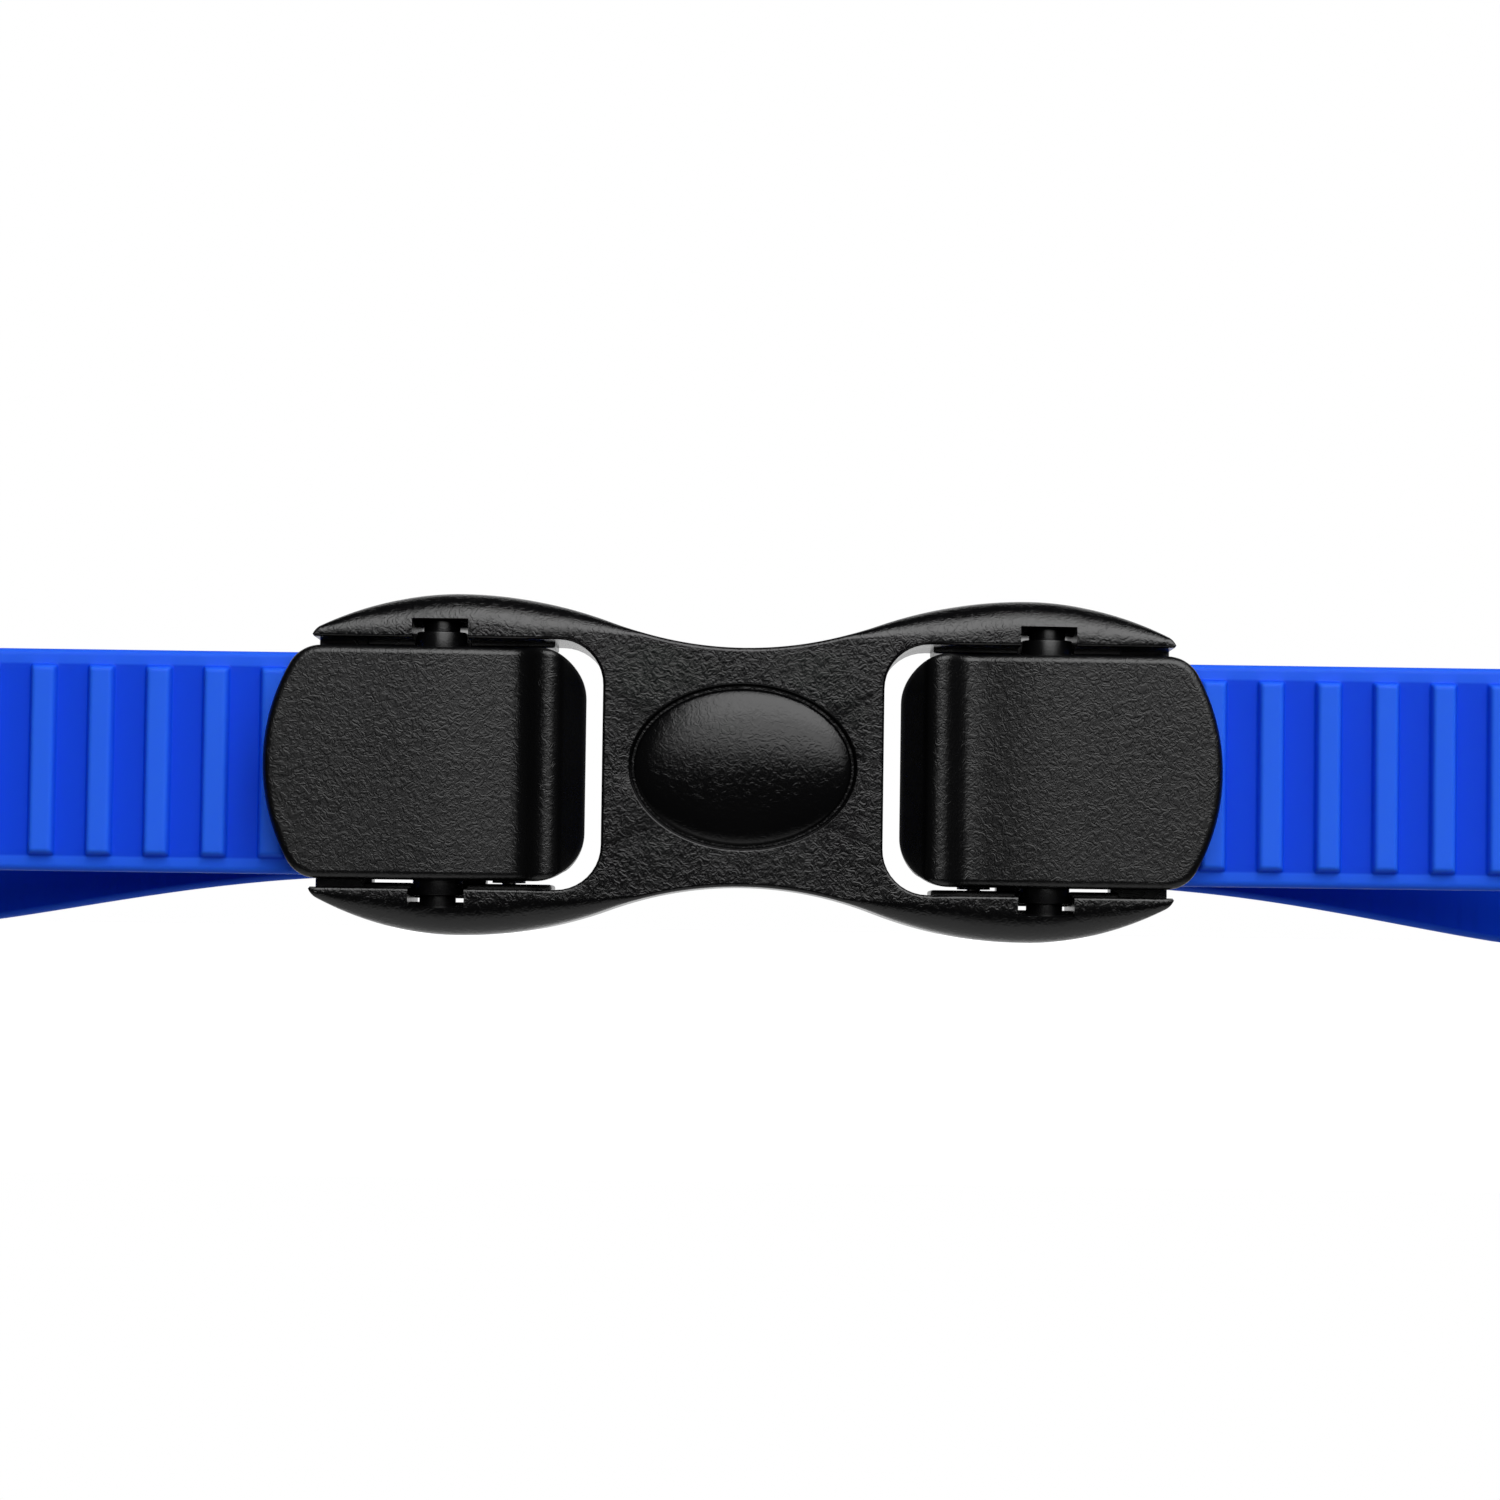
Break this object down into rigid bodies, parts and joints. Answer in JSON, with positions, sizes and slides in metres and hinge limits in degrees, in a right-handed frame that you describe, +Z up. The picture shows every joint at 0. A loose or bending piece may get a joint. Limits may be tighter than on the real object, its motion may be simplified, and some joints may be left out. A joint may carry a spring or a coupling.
{
  "type": "swim mask strap adjuster",
  "caption": "Bow-tie strap adjuster with lifting ratchet levers that grip ribbed elastic straps folded round rollers, shaped as an open head loop with post eyes.",
  "frame": {"origin": "centre of the footprint, on the surface that the strap loop stands on", "axes": "+X along the clip to its right-hand strap, +Y away from the clip's face towards the mask, +Z up, across the width of the straps"},
  "size_m": [0.168, 0.1286, 0.0244],
  "materials": {
    "black_plastic": "moulded black plastic with a fine leather grain",
    "grey_plastic": "smooth turned acetal",
    "steel": "stainless steel wire",
    "blue_silicone": "soft bright blue silicone rubber"
  },
  "bodies": {
    "clip": {"frame": "black_plastic", "left_axle": "steel", "right_axle": "steel", "left_strap": "blue_silicone", "right_strap": "blue_silicone"},
    "left_lever": {"left_lever": "black_plastic"},
    "right_lever": {"right_lever": "black_plastic"},
    "left_roller": {"left_roller": "grey_plastic"},
    "right_roller": {"right_roller": "grey_plastic"}
  },
  "joints": [
    {"name": "left_lever_lift", "type": "hinge", "parent": "clip", "child": "left_lever", "pos_m": [-0.02165, -0.06096, 0.0122], "axis": [0, 0, 1], "range_deg": [0, 15]},
    {"name": "right_lever_lift", "type": "hinge", "parent": "clip", "child": "right_lever", "pos_m": [0.02165, -0.06096, 0.0122], "axis": [0, 0, -1], "range_deg": [0, 15]},
    {"name": "left_roller_spin", "type": "hinge", "parent": "clip", "child": "left_roller", "pos_m": [-0.0168, -0.05702, 0.0122], "axis": [0, 0, 1], "continuous": true},
    {"name": "right_roller_spin", "type": "hinge", "parent": "clip", "child": "right_roller", "pos_m": [0.0168, -0.05702, 0.0122], "axis": [0, 0, 1], "continuous": true}
  ]
}
